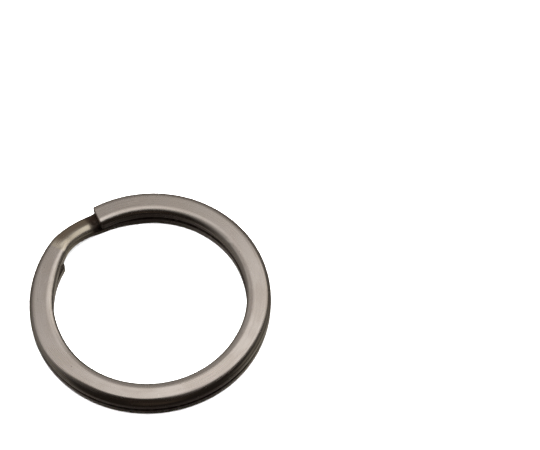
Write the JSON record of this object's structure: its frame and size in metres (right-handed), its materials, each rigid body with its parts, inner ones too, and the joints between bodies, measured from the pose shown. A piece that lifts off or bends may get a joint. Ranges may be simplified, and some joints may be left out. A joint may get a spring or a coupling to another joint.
{
  "type": "split key ring",
  "caption": "Flat split key ring: spring wire wound in two turns that lie on each other, joined by a formed step, with sprung ends that lift to let a key on.",
  "frame": {"origin": "centre of the ring's eye, on the plane that the ring rests on", "axes": "+Z is the ring's axis, up from the resting face; the crossover step is centred on -X, and seen from above the wire runs clockwise downhill"},
  "size_m": [0.03, 0.03, 0.0031],
  "materials": {
    "spring_wire": "satin gunmetal nickel plate over spring steel, brushed along the wire",
    "formed_step": "the same plate, smoother and darker where the forming tool pressed the step",
    "wire_end": "the same plate, with a cut and tumbled end face"
  },
  "bodies": {
    "ring_base": {"crossover": "formed_step", "upper_turn_base": "spring_wire", "lower_turn_base": "spring_wire"},
    "upper_flex_1": {"upper_flex_1": "spring_wire"},
    "upper_flex_2": {"upper_flex_2": "spring_wire"},
    "upper_flex_3": {"upper_flex_3": "spring_wire"},
    "upper_flex_4": {"upper_flex_4": "spring_wire"},
    "upper_flex_5": {"upper_flex_5": "spring_wire"},
    "upper_flex_6": {"upper_flex_6": "spring_wire"},
    "upper_flex_7": {"upper_flex_7": "spring_wire"},
    "upper_flex_8": {"upper_flex_8": "spring_wire"},
    "upper_tip": {"upper_tip": "wire_end"},
    "lower_flex_1": {"lower_flex_1": "spring_wire"},
    "lower_flex_2": {"lower_flex_2": "spring_wire"},
    "lower_flex_3": {"lower_flex_3": "spring_wire"},
    "lower_flex_4": {"lower_flex_4": "spring_wire"},
    "lower_flex_5": {"lower_flex_5": "spring_wire"},
    "lower_flex_6": {"lower_flex_6": "spring_wire"},
    "lower_flex_7": {"lower_flex_7": "spring_wire"},
    "lower_flex_8": {"lower_flex_8": "spring_wire"},
    "lower_tip": {"lower_tip": "wire_end"}
  },
  "joints": [
    {"name": "lower_bend_1", "type": "hinge", "parent": "lower_flex_1", "child": "ring_base", "pos_m": [0.01431, 0.00451, 0], "axis": [-0.3455, 0.9384, 0], "range_deg": [0, 0.5041], "stiffness_Nm_per_rad": 3},
    {"name": "lower_end_lift", "type": "hinge", "parent": "lower_flex_2", "child": "lower_flex_1", "pos_m": [0.01499, -0.00065, 0], "axis": [-0.1444, 0.9895, 0], "range_deg": [0, 0.993], "stiffness_Nm_per_rad": 183},
    {"name": "lower_bend_3", "type": "hinge", "parent": "lower_flex_3", "child": "lower_flex_2", "pos_m": [0.01386, -0.00574, 0], "axis": [0.0176, 0.9998, 0], "range_deg": [0, 0.9556], "stiffness_Nm_per_rad": 3},
    {"name": "lower_bend_4", "type": "hinge", "parent": "lower_flex_4", "child": "lower_flex_3", "pos_m": [0.01106, -0.01013, 0], "axis": [0.1827, 0.9832, 0], "range_deg": [0, 0.8909], "stiffness_Nm_per_rad": 3},
    {"name": "lower_bend_5", "type": "hinge", "parent": "lower_flex_5", "child": "lower_flex_4", "pos_m": [0.00693, -0.01331, 0], "axis": [0.3471, 0.9378, 0], "range_deg": [0, 0.7988], "stiffness_Nm_per_rad": 3},
    {"name": "lower_bend_6", "type": "hinge", "parent": "lower_flex_6", "child": "lower_flex_5", "pos_m": [0.00196, -0.01487, 0], "axis": [0.5059, 0.8626, 0], "range_deg": [0, 0.6799], "stiffness_Nm_per_rad": 3},
    {"name": "lower_bend_7", "type": "hinge", "parent": "lower_flex_7", "child": "lower_flex_6", "pos_m": [-0.00325, -0.01464, 0], "axis": [0.6529, 0.7574, 0], "range_deg": [0, 0.5358], "stiffness_Nm_per_rad": 3},
    {"name": "lower_bend_8", "type": "hinge", "parent": "lower_flex_7", "child": "lower_flex_8", "pos_m": [-0.00806, -0.01265, 0], "axis": [-0.7818, -0.6236, 0], "range_deg": [0, 0.3704], "stiffness_Nm_per_rad": 3},
    {"name": "lower_bend_9", "type": "hinge", "parent": "lower_flex_8", "child": "lower_tip", "pos_m": [-0.0119, -0.00913, 0], "axis": [-0.887, -0.4618, 0], "range_deg": [0, 0.1896], "stiffness_Nm_per_rad": 3},
    {"name": "upper_bend_1", "type": "hinge", "parent": "ring_base", "child": "upper_flex_1", "pos_m": [0.01455, -0.00363, 0.00305], "axis": [0.2875, 0.9578, 0], "range_deg": [0, 0.5041], "stiffness_Nm_per_rad": 3},
    {"name": "upper_end_lift", "type": "hinge", "parent": "upper_flex_1", "child": "upper_flex_2", "pos_m": [0.01492, 0.00157, 0.00305], "axis": [0.0837, 0.9965, 0], "range_deg": [0, 0.993], "stiffness_Nm_per_rad": 183},
    {"name": "upper_bend_3", "type": "hinge", "parent": "upper_flex_2", "child": "upper_flex_3", "pos_m": [0.01348, 0.00658, 0.00305], "axis": [-0.0786, 0.9969, 0], "range_deg": [0, 0.9556], "stiffness_Nm_per_rad": 3},
    {"name": "upper_bend_4", "type": "hinge", "parent": "upper_flex_3", "child": "upper_flex_4", "pos_m": [0.01042, 0.01079, 0.00305], "axis": [-0.2424, 0.9702, 0], "range_deg": [0, 0.8909], "stiffness_Nm_per_rad": 3},
    {"name": "upper_bend_5", "type": "hinge", "parent": "upper_flex_4", "child": "upper_flex_5", "pos_m": [0.0061, 0.0137, 0.00305], "axis": [-0.4037, 0.9149, 0], "range_deg": [0, 0.7988], "stiffness_Nm_per_rad": 3},
    {"name": "upper_bend_6", "type": "hinge", "parent": "upper_flex_5", "child": "upper_flex_6", "pos_m": [0.00105, 0.01496, 0.00305], "axis": [-0.5576, 0.8301, 0], "range_deg": [0, 0.6799], "stiffness_Nm_per_rad": 3},
    {"name": "upper_bend_7", "type": "hinge", "parent": "upper_flex_6", "child": "upper_flex_7", "pos_m": [-0.00413, 0.01442, 0.00305], "axis": [-0.6979, 0.7162, 0], "range_deg": [0, 0.5358], "stiffness_Nm_per_rad": 3},
    {"name": "upper_bend_8", "type": "hinge", "parent": "upper_flex_7", "child": "upper_flex_8", "pos_m": [-0.00882, 0.01213, 0.00305], "axis": [-0.8184, 0.5747, 0], "range_deg": [0, 0.3704], "stiffness_Nm_per_rad": 3},
    {"name": "upper_bend_9", "type": "hinge", "parent": "upper_flex_8", "child": "upper_tip", "pos_m": [-0.01244, 0.00839, 0.00305], "axis": [-0.9135, 0.4068, 0], "range_deg": [0, 0.1896], "stiffness_Nm_per_rad": 3}
  ],
  "couplings": [
    {"joint": "lower_bend_1", "follows": "lower_end_lift", "ratio": 0.5069},
    {"joint": "lower_bend_3", "follows": "lower_end_lift", "ratio": 0.9614},
    {"joint": "lower_bend_4", "follows": "lower_end_lift", "ratio": 0.8962},
    {"joint": "lower_bend_5", "follows": "lower_end_lift", "ratio": 0.8035},
    {"joint": "lower_bend_6", "follows": "lower_end_lift", "ratio": 0.6838},
    {"joint": "lower_bend_7", "follows": "lower_end_lift", "ratio": 0.5388},
    {"joint": "lower_bend_8", "follows": "lower_end_lift", "ratio": 0.3723},
    {"joint": "lower_bend_9", "follows": "lower_end_lift", "ratio": 0.1903},
    {"joint": "upper_bend_1", "follows": "upper_end_lift", "ratio": 0.5069},
    {"joint": "upper_bend_3", "follows": "upper_end_lift", "ratio": 0.9614},
    {"joint": "upper_bend_4", "follows": "upper_end_lift", "ratio": 0.8962},
    {"joint": "upper_bend_5", "follows": "upper_end_lift", "ratio": 0.8035},
    {"joint": "upper_bend_6", "follows": "upper_end_lift", "ratio": 0.6838},
    {"joint": "upper_bend_7", "follows": "upper_end_lift", "ratio": 0.5388},
    {"joint": "upper_bend_8", "follows": "upper_end_lift", "ratio": 0.3723},
    {"joint": "upper_bend_9", "follows": "upper_end_lift", "ratio": 0.1903}
  ]
}
